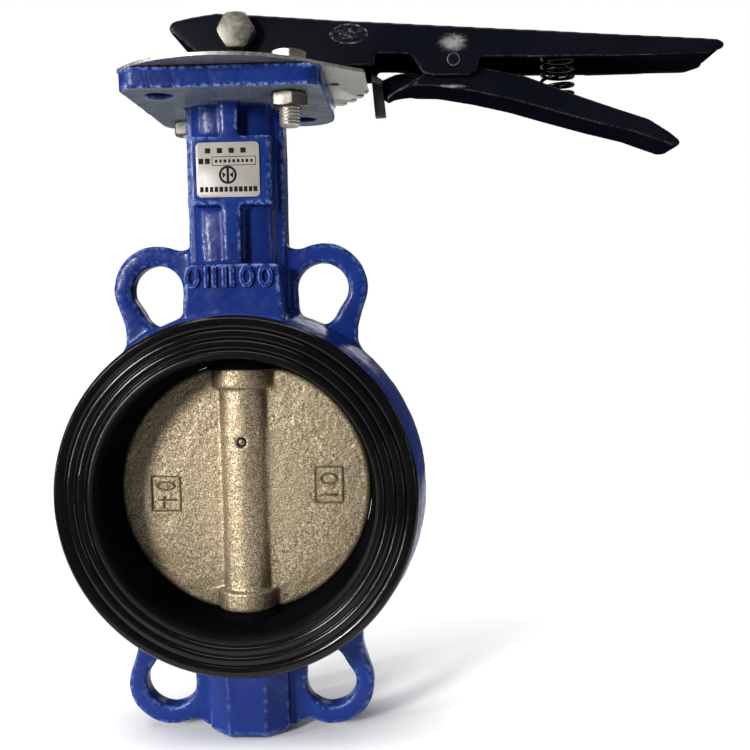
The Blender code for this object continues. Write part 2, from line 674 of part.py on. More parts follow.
def trigger_spring():
    """Compression spring between the lever's roof and the trigger's floor."""
    low = 151.2
    high = 173.9
    per_turn = 10
    count = SPRING_TURNS * per_turn + 1
    curve = bpy.data.curves.new("trigger_spring", "CURVE")
    curve.dimensions = "3D"
    curve.bevel_depth = SPRING_WIRE * MM
    curve.bevel_resolution = 2
    curve.use_fill_caps = True
    spline = curve.splines.new("POLY")
    spline.points.add(count - 1)
    for i, point in enumerate(spline.points):
        turn = 2 * math.pi * i / per_turn
        height = low + (high - low) * i / (count - 1)
        x = SPRING_X + SPRING_RADIUS * math.cos(turn)
        point.co = (x * MM, SPRING_RADIUS * math.sin(turn) * MM, height * MM, 1)
    made = bpy.data.objects.new("trigger_spring", curve)
    PARTS.objects.link(made)
    solid = curve_to_mesh(made, PARTS)
    return finish(solid, material("spring_steel", (0.2, 0.2, 0.2), 0.3, 1.0))


def name_label():
    """Blank rating label on the front of the neck."""
    front = -NECK_FRONT - 0.2
    made = box("name_label", (-12.9, front - 0.7, 117.4), (11.8, front - GAP, 138.4), PARTS)
    return finish(made, material("label_film", (0.75, 0.75, 0.72), 0.4, 0.0))


# ---------------------------------------------------------------- assembly

def round_shading():
    """Smooth shading on the finished parts, with their sharp edges kept."""
    for made in PARTS.objects:
        smooth(made)


clear_scene()
PARTS = make_collection("butterfly_valve")
HELPERS = make_collection("cutters")

valve_body()
seat_liner()
disc()
stem()
disc_pin()
stem_bearings()
notch_plate()
ZINC = material("zinc_fastener", (0.6, 0.58, 0.52), 0.3, 1.0)
plate_fasteners(ZINC)
lever_handle()
lever_hub()
lever_fasteners(ZINC)
trigger()
pawl()
trigger_spring()
name_label()
round_shading()
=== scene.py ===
import math
import random

import bmesh
import bpy
import numpy as np
from mathutils import Matrix, Vector, noise


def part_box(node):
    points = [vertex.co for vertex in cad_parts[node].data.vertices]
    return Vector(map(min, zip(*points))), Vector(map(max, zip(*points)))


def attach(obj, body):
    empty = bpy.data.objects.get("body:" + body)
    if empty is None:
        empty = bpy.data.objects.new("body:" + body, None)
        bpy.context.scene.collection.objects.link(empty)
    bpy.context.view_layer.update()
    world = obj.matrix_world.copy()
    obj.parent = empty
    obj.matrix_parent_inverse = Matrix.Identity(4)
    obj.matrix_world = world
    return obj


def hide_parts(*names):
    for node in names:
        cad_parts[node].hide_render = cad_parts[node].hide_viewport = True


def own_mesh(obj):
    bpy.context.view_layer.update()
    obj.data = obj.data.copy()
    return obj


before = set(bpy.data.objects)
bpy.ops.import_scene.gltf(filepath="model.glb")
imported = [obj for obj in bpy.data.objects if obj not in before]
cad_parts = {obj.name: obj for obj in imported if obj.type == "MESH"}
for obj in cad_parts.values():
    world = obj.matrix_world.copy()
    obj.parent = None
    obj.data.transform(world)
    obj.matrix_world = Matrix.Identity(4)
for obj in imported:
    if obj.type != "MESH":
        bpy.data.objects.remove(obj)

MM = 0.001
FULL_TURN = 2 * math.pi

# Camera: place in metres, then its turn from +Y, its pitch and its roll in degrees.
CAMERA_PLACE = (0.06817, -0.370, 0.07323)
CAMERA_TURN = (2.135, -4.223, -1.013)
CAMERA_LENS = 43.195
SENSOR_WIDTH = 36

# Places and sizes below are in millimetres, and turns are in degrees.
HEX_FLATS = 13.0               # width over the flats of every hexagon
HEX_CORNER = 1.138             # a hexagon's rounded corner, as a share of half its flats
CLAMP_CORNER = 1.10            # the same for the lever's clamping bolt
HEX_TURNS = {"front": 44, "rear": 38}    # of the plate's nuts about their bolts
HEAD_TURN = 42                 # of the plate bolts' heads
HEAD_HEIGHT = 5.3
THREAD_PITCH = 1.25
THREAD_RADIUS = 3.98
THREAD_DEPTH = 0.62
NUT_HOLE = 4.05
BOLT_OFFSET = 24.75            # of the plate's bolts from the stem, along X and along Y
SHANK_LEVELS = (160.0, 163.0)  # the plate bolts' bare threads end between these heights
CLAMP_BOLT = (4.2, 0, 180.5)   # middles of the lever's bolt, the pivot and the hub's pin
PIVOT = (87.2, 0, 168.2)
PIN_CENTRE = (0, 0, 20.0)
RING_STEPS = 72                # points round a hexagon or a thread

SHOULDER_FACE = -20.6          # front of the casting's shoulder
SHOULDER_MARK_RELIEF = 1.15
SHOULDER_MARK_LEVEL = 86.6
SHOULDER_OVALS = (-15.4, 6.0, 13.3)
SHOULDER_BARS = (-8.2, -1.2)

SEAT_GROOVES = (54.2, 58.6, 62.6, 66.6, 73.0)
SEAT_CREST = 27.95             # how far the lips stand out from the bore's centre
SEAT_GROOVE_DEPTH = 1.15
SEAT_RIDGES = (55.9, 70.6)     # radii between which the lips are ridged
SEAT_STEP = 0.2
STEM_HOLE = 8.2

DISC_FACE = -4.95
DISC_MARK_RELIEF = 2.2
LEFT_FRAME = (-33.2, -1.8)
RIGHT_FRAME = (34.6, 1.2)

SPRING_CENTRE = 129.3
SPRING_RADIUS = 6.2
SPRING_WIRE = 0.7
SPRING_TURNS = 7.0
SPRING_ENDS = (151.2, 173.9)

LABEL_CENTRE = (-0.55, 127.9)
LABEL_FACES = (-18.9, -18.5)
PRINT_FACES = (-18.93, -18.8)
SIGN_CENTRE = (-0.6, 125.9)

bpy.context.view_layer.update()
random.seed(7)


# ---------------------------------------------------------------- camera

def make_camera():
    """The camera, turned level first, then pitched and rolled."""
    yaw, pitch, roll = (math.radians(a) for a in CAMERA_TURN)
    ahead = Vector((-math.sin(yaw) * math.cos(pitch), math.cos(yaw) * math.cos(pitch),
                    math.sin(pitch)))
    right = Vector((math.cos(yaw), math.sin(yaw), 0))
    up = right.cross(ahead)
    across = math.cos(roll) * right + math.sin(roll) * up
    upright = math.cos(roll) * up - math.sin(roll) * right
    data = bpy.data.cameras.new("camera")
    data.sensor_width = SENSOR_WIDTH
    data.lens = CAMERA_LENS
    data.clip_start = 0.01
    made = bpy.data.objects.new("camera", data)
    bpy.context.scene.collection.objects.link(made)
    turn = Matrix((across, upright, -ahead)).transposed().to_4x4()
    made.matrix_world = Matrix.Translation(CAMERA_PLACE) @ turn
    bpy.context.scene.camera = made


# ---------------------------------------------------------------- materials

class Look:
    """A node material with a Principled shader, placed by object coordinates in metres."""

    def __init__(self, name, roughness=0.5, metallic=0.0, coat=0.0, coat_roughness=0.1,
                 specular=0.5):
        self.material = bpy.data.materials.new(name)
        self.material.use_nodes = True
        self.nodes = self.material.node_tree.nodes
        self.links = self.material.node_tree.links
        self.shader = self.nodes["Principled BSDF"]
        self.set("Roughness", roughness)
        self.set("Metallic", metallic)
        self.set("Coat Weight", coat)
        self.set("Coat Roughness", coat_roughness)
        self.set("Specular IOR Level", specular)
        self.place = self.nodes.new("ShaderNodeTexCoord").outputs["Object"]
        self.normal = None

    def set(self, socket, value):
        """Give a shader socket a plain value or a node's output."""
        if isinstance(value, bpy.types.NodeSocket):
            self.links.new(value, self.shader.inputs[socket])
        else:
            self.shader.inputs[socket].default_value = value

    def feed(self, node, socket, value):
        """Give a node's socket a plain value or another node's output."""
        if isinstance(value, bpy.types.NodeSocket):
            self.links.new(value, node.inputs[socket])
        else:
            node.inputs[socket].default_value = value

    def stretch(self, x, y, z):
        """Object coordinates scaled along each axis."""
        node = self.nodes.new("ShaderNodeMapping")
        self.links.new(self.place, node.inputs["Vector"])
        node.inputs["Scale"].default_value = (x, y, z)
        return node.outputs["Vector"]

    def noise(self, size, detail=4.0, rough=0.55, warp=0.0, place=None):
        """Cloudy values from 0 to 1, with features of about the size, in millimetres."""
        node = self.nodes.new("ShaderNodeTexNoise")
        self.links.new(place or self.place, node.inputs["Vector"])
        node.inputs["Scale"].default_value = 1000.0 / size
        node.inputs["Detail"].default_value = detail
        node.inputs["Roughness"].default_value = rough
        node.inputs["Distortion"].default_value = warp
        return node.outputs["Fac"]

    def ramp(self, value, *stops):
        """Colours or plain values along a 0 to 1 value, as (position, colour) stops."""
        node = self.nodes.new("ShaderNodeValToRGB")
        self.links.new(value, node.inputs["Fac"])
        marks = node.color_ramp.elements
        while len(marks) < len(stops):
            marks.new(0.5)
        for mark, (position, colour) in zip(marks, stops):
            mark.position = position
            if not isinstance(colour, tuple):
                colour = (colour, colour, colour)
            mark.color = (*colour, 1.0)
        return node.outputs["Color"]

    def mix(self, share, first, second):
        """The first colour or value at a share of 0, the second at 1."""
        node = self.nodes.new("ShaderNodeMix")
        node.data_type = "RGBA"
        self.feed(node, 0, share)
        for index, value in ((6, first), (7, second)):
            if isinstance(value, float):
                value = (value, value, value)
            if isinstance(value, tuple):
                value = (*value, 1.0)
            self.feed(node, index, value)
        return node.outputs[2]

    def math(self, operation, first, second=0.0, clamp=False):
        """Arithmetic on two values, each a number or a node's output."""
        node = self.nodes.new("ShaderNodeMath")
        node.operation = operation
        node.use_clamp = clamp
        self.feed(node, 0, first)
        self.feed(node, 1, second)
        return node.outputs[0]

    def bump(self, height, depth, strength=1.0):
        """Add a bump whose full height is the depth, in millimetres."""
        node = self.nodes.new("ShaderNodeBump")
        node.inputs["Strength"].default_value = strength
        node.inputs["Distance"].default_value = depth * MM
        self.links.new(height, node.inputs["Height"])
        if self.normal is not None:
            self.links.new(self.normal, node.inputs["Normal"])
        self.normal = node.outputs["Normal"]
        self.set("Normal", self.normal)
        self.set("Coat Normal", self.normal)

    def facing(self, way, low, high):
        """1 where a surface faces the given way, 0 where it is turned from it."""
        toward = self.nodes.new("ShaderNodeVectorMath")
        toward.operation = "DOT_PRODUCT"
        coords = self.nodes.new("ShaderNodeTexCoord")
        self.links.new(coords.outputs["Normal"], toward.inputs[0])
        toward.inputs[1].default_value = way
        return self.ramp(toward.outputs["Value"], (low, 0.0), (high, 1.0))

    def length(self, place):
        """Distance of a place from its origin."""
        far = self.nodes.new("ShaderNodeVectorMath")
        far.operation = "LENGTH"
        self.links.new(place, far.inputs[0])
        return far.outputs["Value"]

    def height(self, low, high):
        """0 nearer the bore's level than low, 1 further up or down than high, in millimetres."""
        return self.ramp(self.length(self.stretch(0.0, 0.0, 1.0)),
                         (low * MM, 0.0), (high * MM, 1.0))

    def from_bore(self, low, high):
        """0 nearer the pipe's axis than low, 1 beyond high, both in millimetres."""
        return self.ramp(self.length(self.stretch(1.0, 0.0, 1.0)),
                         (low * MM, 0.0), (high * MM, 1.0))

    def edges(self, low, high):
        """1 on sharp outward corners, 0 on flat ground."""
        node = self.nodes.new("ShaderNodeNewGeometry")
        return self.ramp(node.outputs["Pointiness"], (low, 0.0), (high, 1.0))

    def ellipse(self, x, y, z, half_x, half_z):
        """Distance from a point of an upright face, 1 on the ellipse's edge."""
        shift = self.nodes.new("ShaderNodeMapping")
        shift.vector_type = "TEXTURE"
        self.links.new(self.place, shift.inputs["Vector"])
        shift.inputs["Location"].default_value = (x * MM, y * MM, z * MM)
        shift.inputs["Scale"].default_value = (half_x * MM, 2 * MM, half_z * MM)
        return self.length(shift.outputs["Vector"])


def blue_enamel():
    """Thick glossy blue paint over a sand casting, with painted highlights on its edges and a grey
    painted floor reflection under the flange.
    """
    look = Look("blue_enamel", coat_roughness=0.09, specular=0.11)
    deep, pale = (0.0042, 0.0140, 0.098), (0.0070, 0.0240, 0.155)
    painted_highlight_blue, pit_blue = (0.22, 0.32, 0.68), (0.006, 0.014, 0.085)
    dark_painted_reflection, pale_painted_reflection = (0.105, 0.128, 0.158), (0.145, 0.165, 0.185)
    flange_levels = (150.0, 153.0)
    cloud = look.noise(34, 3)
    fine = look.noise(3.2, 5, 0.6)
    base = look.ramp(cloud, (0.32, deep), (0.68, pale))
    painted_highlight_beads = look.ramp(look.noise(2.2, 5, 0.7), (0.47, 0.0), (0.58, 1.0))
    # Painted highlight: light blue beads on the sharp edges stand in for glints of light on the
    # glossy paint.
    base = look.mix(look.math("MULTIPLY", look.edges(0.508, 0.562), painted_highlight_beads), base, painted_highlight_blue)
    pits = look.ramp(look.noise(1.5, 2), (0.24, 1.0), (0.30, 0.0))
    base = look.mix(pits, base, pit_blue)
    # Painted reflection: faces turned down under the flange are greyed, standing in for the floor
    # seen in them.
    under = look.math("MULTIPLY", look.facing((0, 0, -1), 0.72, 0.95),
                      look.height(*flange_levels))
    painted_floor_reflection = look.ramp(look.noise(12, 5, 0.6), (0.3, dark_painted_reflection), (0.7, pale_painted_reflection))
    look.set("Base Color", look.mix(under, base, painted_floor_reflection))
    look.set("Roughness", look.ramp(fine, (0.3, 0.22), (0.7, 0.36)))
    shine = look.ramp(look.noise(9, 4, 0.6), (0.46, 0.02), (0.66, 0.14))
    look.set("Coat Weight", look.mix(under, shine, 0.0))
    flat = look.ramp(under, (0.0, 1.0), (1.0, 0.15))
    look.bump(look.math("MULTIPLY", look.noise(4.5, 3, 0.5, 0.4), flat), 0.16)
    look.bump(look.math("MULTIPLY", look.noise(1.6, 3), flat), 0.06)
    return look.material


def black_rubber():
    """Moulded rubber with a little dust, glossier on the lips than in the bore."""
    dark, light = (0.0015, 0.0015, 0.0020), (0.0030, 0.0030, 0.0034)
    dust_grey = (0.022, 0.022, 0.021)
    lip_gloss = 0.20
    lip_radii = (55.0, 56.2)
    look = Look("black_rubber", specular=lip_gloss)
    cloud = look.noise(22, 4)
    fine = look.noise(1.1, 5, 0.7)
    dust = look.ramp(look.noise(2.2, 6, 0.75), (0.60, 0.0), (0.72, 1.0))
    base = look.ramp(cloud, (0.3, dark), (0.7, light))
    look.set("Base Color", look.mix(look.math("MULTIPLY", dust, 0.30), base, dust_grey))
    lip = look.from_bore(*lip_radii)
    look.set("Specular IOR Level", look.mix(lip, 0.0, lip_gloss))
    look.set("Roughness", look.mix(lip, 0.5, look.ramp(fine, (0.3, 0.10), (0.7, 0.20))))
    look.bump(fine, 0.02)
    look.bump(look.noise(7, 2), 0.04)
    return look.material


def nickel_cast(name="nickel_cast", shade=1.0):
    """A sparkling plated casting; a shade below 1 darkens it with painted shade, as a shaded copy
    of the casting.
    """
    look = Look(name, metallic=0.9, specular=0.5)
    hollow, dull, plain, spark = ((0.055, 0.040, 0.019), (0.230, 0.178, 0.106),
                                  (0.42, 0.348, 0.236), (0.78, 0.69, 0.53))
    cloud_tan, pit_brown, painted_shade_brown = ((0.25, 0.205, 0.138), (0.05, 0.037, 0.02),
                                         (0.03, 0.022, 0.012))
    grain = look.noise(0.65, 5, 0.72)
    cloud = look.noise(16, 3)
    base = look.ramp(grain, (0.36, hollow), (0.46, dull), (0.56, plain), (0.66, spark))
    base = look.mix(look.ramp(cloud, (0.35, 0.0), (0.75, 0.28)), base, cloud_tan)
    pits = look.ramp(look.noise(2.6, 3, 0.6), (0.22, 1.0), (0.28, 0.0))
    base = look.mix(pits, base, pit_brown)
    # Painted shade: a darker copy of the casting, used for the disc's raised marks.
    if shade < 1.0:
        base = look.mix(look.ramp(cloud, (0.2, 1 - shade), (0.8, 1 - shade * 0.6)), base,
                        painted_shade_brown)
    look.set("Base Color", base)
    look.set("Roughness", look.ramp(grain, (0.35, 0.62), (0.7, 0.36)))
    look.bump(grain, 0.15)
    return look.material


def metal(name, dark, light, roughness, size=6.0, scratch=0.5, depth=0.02, metallic=1.0,
          shank=None):
    """Plated or bare metal, clouded, with fine scratches and lighter corners.

    A shank colour is a lighter painted reflection on the threads below the plate's bolts."""
    look = Look(name, metallic=metallic)
    cloud = look.noise(size, 5, 0.62, 0.6)
    fine = look.noise(0.5, 3, 0.6)
    lines = look.noise(2.5, 6, 0.7, place=look.stretch(0.25, 1.0, 6.0))
    base = look.ramp(cloud, (0.32, dark), (0.68, light))
    marks = look.ramp(lines, (0.62, 0.0), (0.70, scratch))
    base = look.mix(marks, base, tuple(min(1.0, c * 1.5) for c in light))
    worn = look.edges(0.53, 0.60)
    base = look.mix(worn, base, tuple(min(1.0, c * 1.35) for c in light))
    # Painted reflection: the threads below the plate's bolts get a lighter copy of the zinc.
    if shank:
        threads = look.ramp(cloud, (0.32, tuple(c * 0.7 for c in shank)), (0.68, shank))
        base = look.mix(look.height(*SHANK_LEVELS), threads, base)
    look.set("Base Color", base)
    look.set("Roughness", look.ramp(cloud, (0.3, roughness * 0.75), (0.7, roughness * 1.3)))
    look.bump(lines, depth)
    look.bump(fine, depth * 0.7)
    return look.material


def gloss_paint(name, scars):
    """Black stoved paint with dust and a thin grey line along its edges.

    A scar is its kind, its centre and its half sizes: "arcs" is a scuffed oval ring with
    flecks inside, "rub" a cloudy rubbed patch."""
    gloss = 0.06
    look = Look(name, specular=gloss)
    deep, pale = (0.0022, 0.0026, 0.0048), (0.0038, 0.0042, 0.0075)
    rubbed_grey, dust_grey, scar_grey = ((0.15, 0.15, 0.155), (0.08, 0.08, 0.085),
                                         (0.24, 0.25, 0.235))
    below = look.facing((0, 0, -1), 0.3, 0.7)
    look.set("Specular IOR Level", look.mix(below, gloss, 0.0))
    cloud = look.noise(30, 3)
    base = look.ramp(cloud, (0.3, deep), (0.7, pale))
    fine = look.noise(0.9, 5, 0.7)
    rubbed = look.math("MULTIPLY", look.edges(0.525, 0.58),
                       look.ramp(look.noise(5, 5, 0.7), (0.40, 0.0), (0.58, 0.9)))
    base = look.mix(rubbed, base, rubbed_grey)
    dust = look.ramp(look.noise(1.8, 6, 0.8), (0.66, 0.0), (0.74, 0.25))
    base = look.mix(dust, base, dust_grey)
    rough = look.ramp(cloud, (0.3, 0.24), (0.7, 0.36))
    for kind, x, y, z, half_x, half_z in scars:
        far = look.ellipse(x, y, z, half_x, half_z)
        if kind == "arcs":
            band = look.math("SUBTRACT", look.ramp(far, (0.80, 0.0), (0.92, 1.0)),
                             look.ramp(far, (0.94, 0.0), (1.0, 1.0)), True)
            broken = look.ramp(look.noise(5, 5, 0.75), (0.48, 0.0), (0.62, 0.8))
            inside = look.ramp(far, (0.30, 1.0), (0.85, 0.0))
            flecks = look.ramp(look.noise(1.2, 7, 0.85, place=look.stretch(0.6, 1.0, 1.3)),
                               (0.53, 0.0), (0.60, 0.55))
            share = look.math("ADD", look.math("MULTIPLY", band, broken),
                              look.math("MULTIPLY", inside, flecks), True)
        else:
            spot = look.ramp(far, (0.10, 1.0), (1.10, 0.0))
            streaks = look.noise(1.3, 9, 0.95, 0.3, look.stretch(0.55, 1.0, 1.0))
            level = look.math("ADD", look.math("MULTIPLY", spot, 0.42),
                              look.math("MULTIPLY", streaks, 0.80))
            share = look.ramp(level, (0.62, 0.0), (0.80, 0.8))
        base = look.mix(share, base, scar_grey)
        rough = look.mix(share, rough, 0.6)
    look.set("Base Color", base)
    look.set("Roughness", rough)
    look.bump(look.noise(2.4, 3, 0.5), 0.03)
    look.bump(fine, 0.008)
    return look.material


def label_film():
    """Printed silver film, a little smudged."""
    look = Look("label_film", roughness=0.35, specular=0.45)
    base = look.ramp(look.noise(9, 4), (0.3, (0.27, 0.250, 0.226)), (0.7, (0.33, 0.308, 0.284)))
    smudge = look.ramp(look.noise(2.5, 6, 0.75), (0.60, 0.0), (0.75, 0.35))
    look.set("Base Color", look.mix(smudge, base, (0.30, 0.285, 0.27)))
    look.set("Roughness", look.ramp(look.noise(5, 3), (0.3, 0.28), (0.7, 0.45)))
    look.bump(look.noise(3, 3), 0.015)
    return look.material


def label_ink():
    """Dull black print."""
    look = Look("label_ink", specular=0.05)
    look.set("Base Color", look.ramp(look.noise(0.8, 5, 0.7), (0.35, (0.004, 0.004, 0.005)),
                                     (0.72, (0.014, 0.014, 0.014))))
    look.set("Roughness", look.ramp(look.noise(1.0, 3), (0.3, 0.42), (0.7, 0.6)))
    look.bump(look.noise(0.6, 2), 0.004)
    return look.material


def floor_paint():
    """Pale matt floor."""
    look = Look("floor_paint", roughness=0.7, specular=0.2)
    base = look.ramp(look.noise(300, 4), (0.3, (0.86, 0.86, 0.865)), (0.7, (0.90, 0.90, 0.905)))
    look.set("Base Color", base)
    look.bump(look.noise(4, 2), 0.02)
    return look.material


# ---------------------------------------------------------------- mesh tools

def add_object(name, mesh):
    """Put a mesh in the scene."""
    made = bpy.data.objects.new(name, mesh)
    bpy.context.scene.collection.objects.link(made)
    return made


def from_bmesh(name, bm):
    """Turn a bmesh into an object, its faces turned outwards."""
    mesh = bpy.data.meshes.new(name)
    bmesh.ops.recalc_face_normals(bm, faces=bm.faces)
    bm.to_mesh(mesh)
    bm.free()
    return add_object(name, mesh)


def cad_copy(node, name):
    """A clean copy of a CAD node, with its split corners welded."""
    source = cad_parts[node].data
    bm = bmesh.new()
    marks = [bm.verts.new(v.co) for v in source.vertices]
    for face in source.polygons:
        corners = [marks[i] for i in face.vertices]
        try:
            bm.faces.new(corners)
        except ValueError:
            continue
    bmesh.ops.remove_doubles(bm, verts=bm.verts, dist=2e-6)
    bmesh.ops.dissolve_degenerate(bm, edges=bm.edges, dist=1e-6)
    return from_bmesh(name, bm)


def settle(made):
    """Apply every modifier of an object."""
    graph = bpy.context.evaluated_depsgraph_get()
    mesh = bpy.data.meshes.new_from_object(made.evaluated_get(graph))
    made.modifiers.clear()
    made.data = mesh
    return made


def softened(made, width, angle=28, segments=2):
    """Round the sharp edges of a flat-sided piece with a bevel."""
    bm = bmesh.new()
    bm.from_mesh(made.data)
    bmesh.ops.dissolve_limit(bm, angle_limit=math.radians(1), verts=bm.verts, edges=bm.edges)
    bm.to_mesh(made.data)
    bm.free()
    step = made.modifiers.new("round", "BEVEL")
    step.width = width * MM
    step.segments = segments
    step.limit_method = "ANGLE"
    step.angle_limit = math.radians(angle)
    step.miter_outer = "MITER_ARC"
    settle(made)
    made.data.shade_smooth()
    return flat_sided(made)


def flat_sided(made):
    """Shade the wide faces of a piece flat and only its narrow bevels round."""
    step = made.modifiers.new("flats", "WEIGHTED_NORMAL")
    step.mode = "FACE_AREA"
    step.weight = 80
    return settle(made)


def remeshed(made, voxel):
    """Rebuild a piece with even faces of a size in millimetres."""
    step = made.modifiers.new("even", "REMESH")
    step.mode = "VOXEL"
    step.voxel_size = voxel * MM
    return settle(made)


def read_points(made):
    """The piece's points as rows of X, Y and Z, in metres."""
    flat = np.empty(len(made.data.vertices) * 3)
    made.data.vertices.foreach_get("co", flat)
    return flat.reshape(-1, 3)


def write_points(made, points):
    """Move the piece's points to new places."""
    made.data.vertices.foreach_set("co", points.reshape(-1))
    made.data.update()


def relaxed(made, rounds, share=None):
    """Average each point with its neighbours. The share is 0 to 1 for each point."""
    points = read_points(made)
    ends = np.empty(len(made.data.edges) * 2, np.int64)
    made.data.edges.foreach_get("vertices", ends)
    ends = ends.reshape(-1, 2)
    count = np.bincount(ends.reshape(-1), minlength=len(points))[:, None]
    weight = 0.5 if share is None else 0.5 * share[:, None]
    for _ in range(rounds):
        total = np.zeros_like(points)
        for axis in range(3):
            total[:, axis] = (
                np.bincount(ends[:, 0], points[ends[:, 1], axis], len(points))
                + np.bincount(ends[:, 1], points[ends[:, 0], axis], len(points)))
        points += weight * (total / np.maximum(count, 1) - points)
    write_points(made, points)


def roughened(made, size, height, seed, share=None):
    """Push points along their normals by smooth noise; size and height in millimetres."""
    points = read_points(made)
    normals = np.empty(len(points) * 3)
    made.data.vertices.foreach_get("normal", normals)
    normals = normals.reshape(-1, 3)
    offset = Vector((seed * 3.1, seed * 7.7, seed * 1.3))
    values = np.array([noise.noise(Vector(p) * (1 / (size * MM)) + offset) for p in points])
    if share is not None:
        values = values * share
    write_points(made, points + normals * (values * height * MM)[:, None])


def keep_inside(made, *nodes):
    """Hold every point inside the boxes of the CAD nodes that a piece stands for."""
    corners = [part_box(node) for node in nodes]
    low = np.min([np.array(c[0]) for c in corners], axis=0)
    high = np.max([np.array(c[1]) for c in corners], axis=0)
    write_points(made, np.clip(read_points(made), low, high))


def ride(made, body, look, slot, *nodes):
    """Put a finished piece on a body with its material, in place of its CAD nodes."""
    made.data.materials.clear()
    made.data.materials.append(look)
    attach(made, body)
    if nodes:
        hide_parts(*nodes)
    return made


def wrap(bm, here, after):
    """Faces between two closed rows of points."""
    count = len(here)
    for k in range(count):
        j = (k + 1) % count
        bm.faces.new((here[k], here[j], after[j], after[k]))


def cap(bm, rows):
    """Close the last and the first row with a face each."""
    bm.faces.new(rows[-1])
    bm.faces.new(list(reversed(rows[0])))


def lathe(name, profile, steps):
    """A closed turned mesh from (radius, height) points round the pipe's axis."""
    bm = bmesh.new()
    rings = []
    for k in range(steps):
        a = FULL_TURN * k / steps
        rings.append([bm.verts.new((r * math.cos(a) * MM, h * MM, r * math.sin(a) * MM))
                      for r, h in profile])
    for k in range(steps):
        wrap(bm, rings[k], rings[(k + 1) % steps])
    made = from_bmesh(name, bm)
    made.data.shade_smooth()
    return made


def boolean(made, tool, operation="DIFFERENCE"):
    """Cut a piece with another, or join them, and remove the other."""
    step = made.modifiers.new("cut", "BOOLEAN")
    step.operation = operation
    step.solver = "EXACT"
    step.object = tool
    settle(made)
    bpy.data.objects.remove(tool)
    return made


def joined(name, parts):
    """One object from several, in the order given."""
    bm = bmesh.new()
    for part in parts:
        bm.from_mesh(part.data)
        bpy.data.objects.remove(part)
    made = from_bmesh(name, bm)
    made.data.shade_smooth()
    made.data.set_sharp_from_angle(angle=math.radians(40))
    return made


AXES = {"y": Matrix.Rotation(math.radians(-90), 4, "X"), "z": Matrix.Identity(4)}


def set_up(name, bm, axis, at):
    """Stand a piece drawn along Z on another axis, at a place."""
    bmesh.ops.transform(bm, matrix=Matrix.Translation(Vector(at) * MM) @ AXES[axis],
                        verts=bm.verts)
    return from_bmesh(name, bm)


def ring_point(bm, a, radius, height):
    """A point at an angle round the Z axis, given in millimetres."""
    return bm.verts.new((radius * math.cos(a) * MM, radius * math.sin(a) * MM, height * MM))


def stacked(name, rings, axis, at, hollow=False):
    """A solid from rings, from below to the top.

    Each ring is a radius, as a function of the angle, and a height, as a function or a number."""
    bm = bmesh.new()
    rows = []
    for radius, height in rings:
        row = []
        for k in range(RING_STEPS):
            a = FULL_TURN * k / RING_STEPS
            row.append(ring_point(bm, a, radius(a), height(a) if callable(height) else height))
        rows.append(row)
    for low, high in zip(rows, rows[1:]):
        wrap(bm, low, high)
    if hollow:
        wrap(bm, rows[-1], rows[0])
    else:
        cap(bm, rows)
    return set_up(name, bm, axis, at)


def hexagon(turn, shrink=0.0, corner=HEX_CORNER):
    """Radius of a hexagon at an angle; its corners are cut at a share of half the flats."""
    half = HEX_FLATS / 2 - shrink
    side = math.pi / 3

    def radius(a):
        b = (a - turn) % side - side / 2
        return min(half / math.cos(b), half * corner)
    return radius


def round_at(r):
    """The radius function of a plain circle."""
    return lambda a: r


def round_rings(rings):
    """Rings of plain radii, for stacked()."""
    return [(round_at(r), h) for r, h in rings]


def mirrored(rings):
    """The same rings on the other side of zero, again from below to the top."""
    return [(r, -h) for r, h in reversed(rings)]


def hex_piece(name, axis, at, low, high, turn, crown_low, crown_high, hole=0.0,
              corner=HEX_CORNER):
    """A hexagon with chamfered corners on its crowned ends, solid or with a hole."""
    turn = math.radians(turn)
    body = hexagon(turn, corner=corner)
    worn = hexagon(turn, 0.12)
    ring = HEX_FLATS / 2 - 0.25
    slope = math.tan(math.radians(30))

    def edge(height, direction):
        return lambda a: height - direction * max(0.05, (body(a) - ring) * slope)
    rings = []
    if hole:
        rings += round_rings([(hole, low + 0.5), (hole + 0.5, low)])
    if crown_low:
        rings += round_rings([(ring - 0.2, low), (ring, low + 0.05)]) + [(body, edge(low, -1))]
    else:
        rings += [(worn, low), (body, low + 0.12)]
    if crown_high:
        rings += [(body, edge(high, 1))] + round_rings([(ring, high - 0.05), (ring - 0.2, high)])
    else:
        rings += [(body, high - 0.12), (worn, high)]
    if hole:
        rings += round_rings([(hole + 0.5, high), (hole, high - 0.5)])
    return stacked(name, rings, axis, at, hollow=bool(hole))


def threaded(name, axis, at, low, high, tip_low):
    """A screw thread between two heights, with a chamfer on its free end."""
    rows_per_turn = 10
    tip_drop, tip_slope = 0.75, 1.1
    rows = int((high - low) / THREAD_PITCH * rows_per_turn)
    bm = bmesh.new()
    grid = []
    for i in range(rows + 1):
        h = low + (high - low) * i / rows
        row = []
        for k in range(RING_STEPS):
            phase = (h / THREAD_PITCH - k / RING_STEPS) % 1.0
            wave = abs(2 * phase - 1)
            fall = min(1.0, max(0.0, (wave - 0.12) / 0.72))
            end = h - low if tip_low else high - h
            r = min(THREAD_RADIUS - THREAD_DEPTH * fall,
                    THREAD_RADIUS - tip_drop + end * tip_slope)
            row.append(ring_point(bm, FULL_TURN * k / RING_STEPS, r, h))
        grid.append(row)
    for here, after in zip(grid, grid[1:]):
        wrap(bm, here, after)
    cap(bm, grid)
    return set_up(name, bm, axis, at)


def slab(bm, outline, low, high, rim):
    """Add a plate drawn in X and Z, from the depth low (near side) to high, with soft rims."""
    centre = Vector((sum(p[0] for p in outline), sum(p[1] for p in outline))) / len(outline)
    rows = []
    for inset, depth in ((rim, low), (rim * 0.3, low + rim * 0.3), (0.0, low + rim),
                         (0.0, high)):
        row = []
        for x, z in outline:
            away = Vector((x, z)) - centre
            keep = max(0.0, 1 - inset / max(away.length, 0.01))
            x, z = centre + away * keep
            row.append(bm.verts.new((x * MM, depth * MM, z * MM)))
        rows.append(row)
    for here, after in zip(rows, rows[1:]):
        wrap(bm, here, after)
    cap(bm, rows[::-1])


